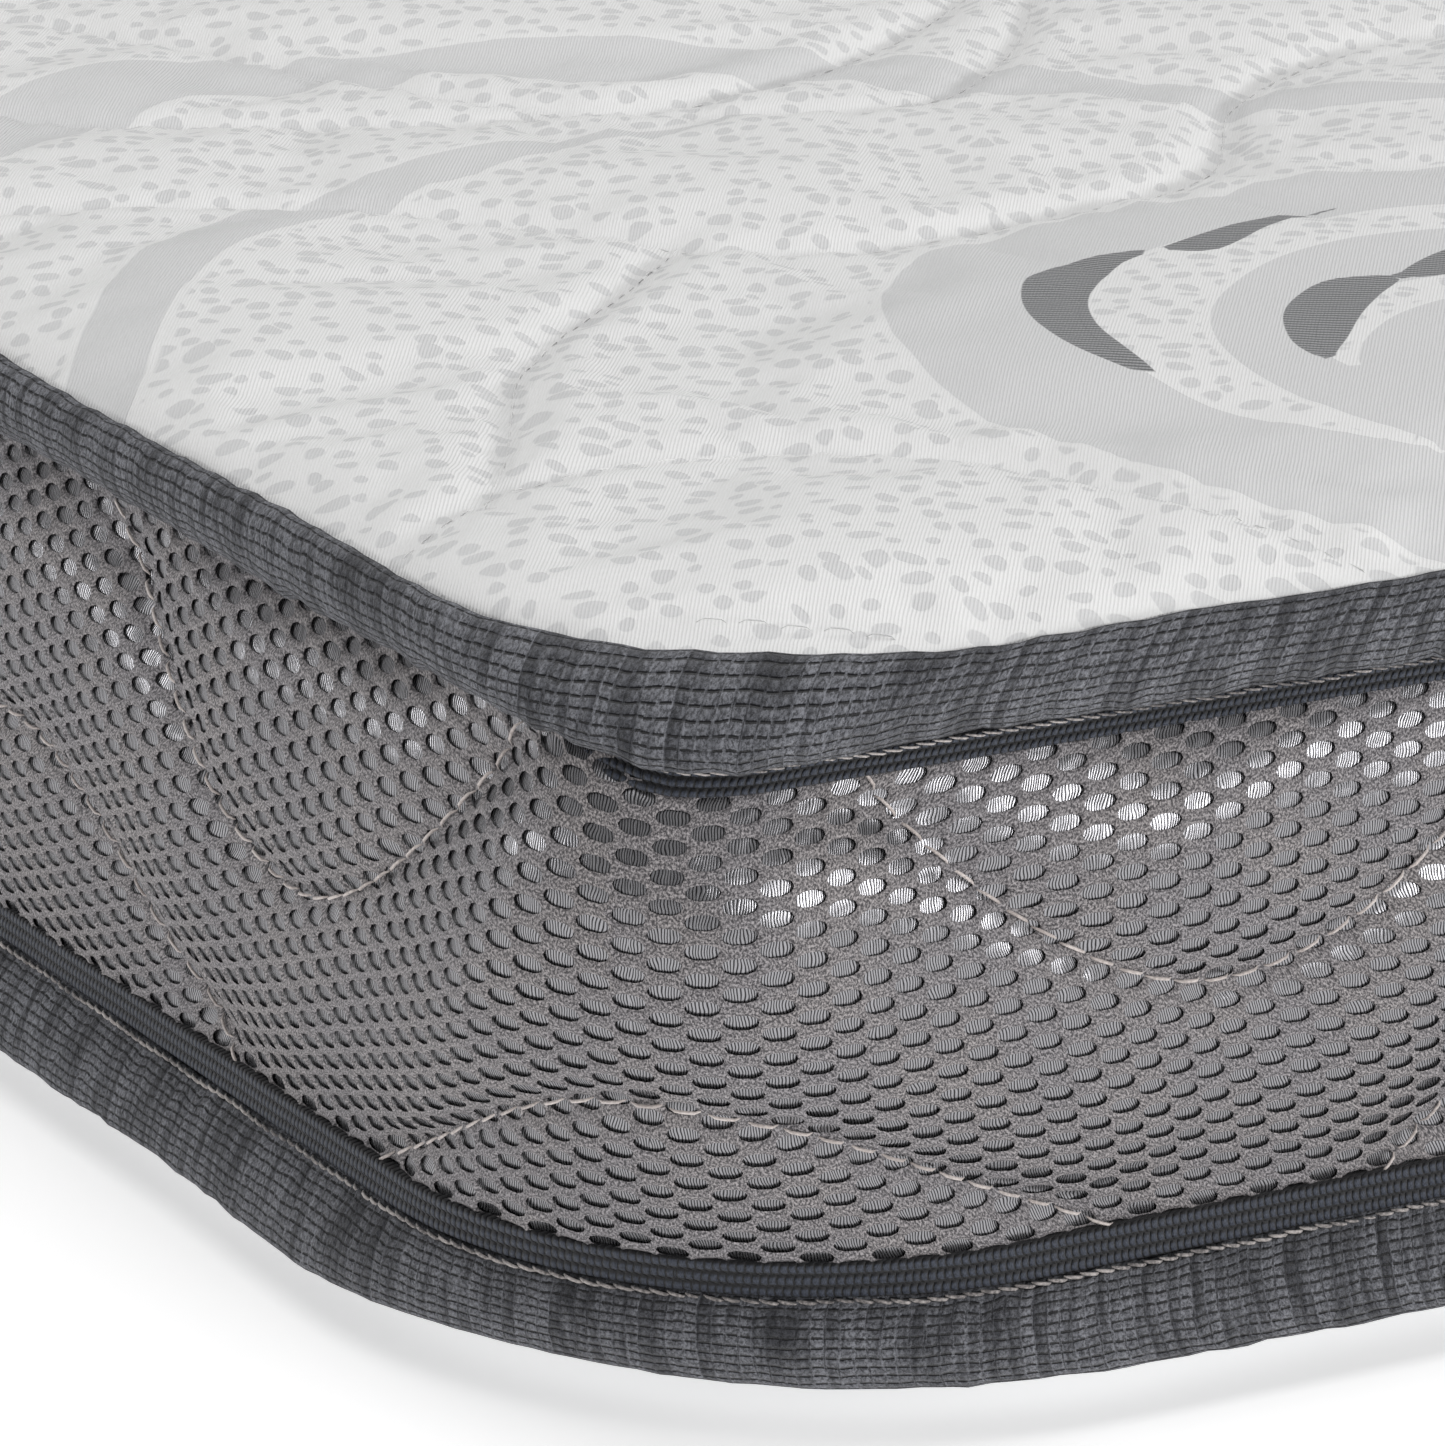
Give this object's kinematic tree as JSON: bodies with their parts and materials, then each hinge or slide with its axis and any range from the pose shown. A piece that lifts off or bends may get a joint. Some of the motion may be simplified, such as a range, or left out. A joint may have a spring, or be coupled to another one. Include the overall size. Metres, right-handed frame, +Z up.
{
  "type": "pressure relief mattress",
  "caption": "Thin foam ward mattress in a quilted knitted cover with a spacer mesh border, chenille edge rolls and ribbed binding tapes",
  "frame": {"origin": "middle of the underside, where the base panel rests on the bed deck", "axes": "+X along the length towards the head end, +Y across the width, +Z up"},
  "size_m": [1.9798, 0.8798, 0.1],
  "materials": {
    "panel_knit": "matte",
    "base_cloth": "matte",
    "quilt_fibre": "matte",
    "backing_fleece": "matte",
    "quilting_yarn": "satin",
    "chenille": "matte",
    "binding_ribbon": "satin",
    "tape_yarn": "satin",
    "border_yarn": "satin",
    "spacer_mesh": "satin",
    "sock_knit": "matte",
    "slow_recovery_foam": "matte",
    "support_foam": "matte",
    "rail_foam": "matte"
  },
  "bodies": {
    "root": {"top_panel_cloth": "panel_knit", "top_panel_wadding": "quilt_fibre", "top_panel_backing": "backing_fleece", "top_quilting_thread": "quilting_yarn", "top_chenille_band": "chenille", "top_band_filler": "quilt_fibre", "top_binding_tape": "binding_ribbon", "top_tape_thread": "tape_yarn", "mesh_border": "spacer_mesh", "border_wadding": "quilt_fibre", "border_backing": "backing_fleece", "border_quilting_thread": "border_yarn", "bottom_binding_tape": "binding_ribbon", "bottom_tape_thread": "tape_yarn", "bottom_chenille_band": "chenille", "bottom_band_filler": "quilt_fibre", "base_panel_cloth": "base_cloth", "base_panel_wadding": "quilt_fibre", "base_panel_backing": "backing_fleece", "inner_sock": "sock_knit", "visco_foam_layer": "slow_recovery_foam", "castellated_foam_layer": "support_foam", "base_foam": "support_foam", "left_side_rail": "rail_foam", "right_side_rail": "rail_foam", "head_rail": "rail_foam", "foot_rail": "rail_foam"}
  },
  "joints": []
}
